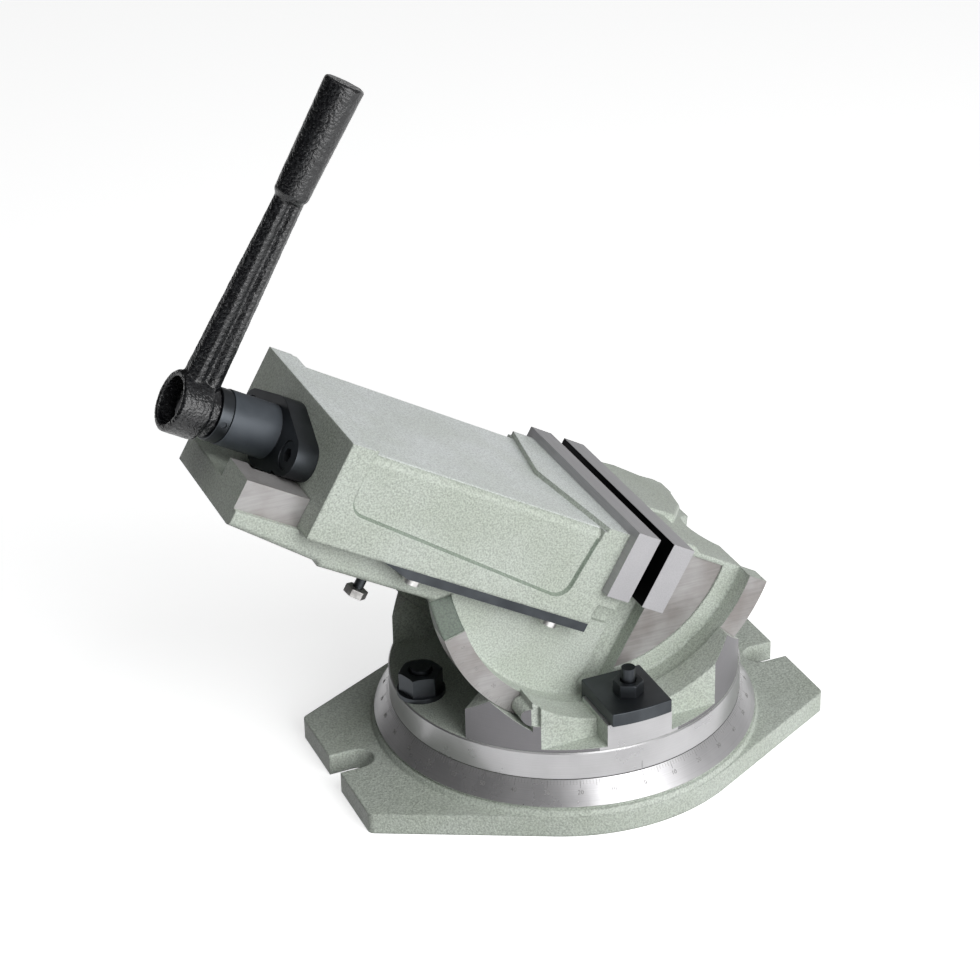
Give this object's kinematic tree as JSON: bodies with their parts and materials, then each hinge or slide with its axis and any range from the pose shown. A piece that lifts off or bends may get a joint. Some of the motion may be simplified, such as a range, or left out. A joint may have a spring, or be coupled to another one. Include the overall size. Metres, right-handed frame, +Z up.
{
  "type": "machine vise",
  "caption": "Machine vise whose screw-driven jaw slides on a bed. The bed's drum tilts in a cradle, which swivels on a slotted foot plate for a machine table.",
  "frame": {"origin": "centre of the swivel on the underside of the base, where it rests on the machine table", "axes": "+X along the two base slots, from the crank end to the fixed jaw; +Y across the vise along the jaws; +Z up"},
  "size_m": [0.3225, 0.197, 0.3632],
  "materials": {
    "casting_paint": "hammered sage green paint on cast iron, with machined edges left bare",
    "crank_paint": "thick glossy black paint on a rough casting",
    "black_steel": "black oxide",
    "ground_steel": "surface ground",
    "machined_iron": "machined",
    "bright_steel": "bright turned"
  },
  "bodies": {
    "base": {"base_casting": "casting_paint"},
    "turntable": {"turntable_casting": "casting_paint", "swivel_t_bolts": "black_steel", "swivel_washers": "black_steel", "swivel_nuts": "black_steel", "tilt_clamp_near": "black_steel", "tilt_clamp_far": "black_steel", "tilt_studs": "black_steel", "tilt_nuts": "black_steel"},
    "vise_bed": {"bed_casting": "casting_paint", "fixed_jaw_plate": "ground_steel", "fixed_jaw_screws": "black_steel", "screw_nut": "machined_iron", "nut_bolts": "black_steel"},
    "slide": {"slide_casting": "casting_paint", "moving_jaw_plate": "ground_steel", "moving_jaw_screws": "black_steel", "guide_strip_near": "black_steel", "guide_strip_far": "black_steel", "strip_screws": "bright_steel", "screw_bearing": "black_steel", "bearing_screws": "black_steel"},
    "screw": {"lead_screw": "ground_steel", "thrust_collar": "black_steel", "collar_pin": "bright_steel", "crank_handle": "crank_paint"}
  },
  "joints": [
    {"name": "swivel", "type": "hinge", "parent": "base", "child": "turntable", "pos_m": [0, 0, 0.0255], "axis": [0, 0, 1], "continuous": true},
    {"name": "tilt", "type": "hinge", "parent": "turntable", "child": "vise_bed", "pos_m": [0, 0, 0.127], "axis": [0, 1, 0], "range_deg": [-30, 60]},
    {"name": "jaw_slide", "type": "slide", "parent": "vise_bed", "child": "slide", "axis": [0.866, 0, -0.5], "range_m": [-0.08, 0.0082]},
    {"name": "screw_spin", "type": "hinge", "parent": "slide", "child": "screw", "pos_m": [-0.16188, 0, 0.20661], "axis": [0.866, 0, -0.5], "range_deg": [-7200, 738.1]}
  ],
  "couplings": [
    {"joint": "screw_spin", "follows": "jaw_slide", "rad_per_m": 1570.8}
  ]
}
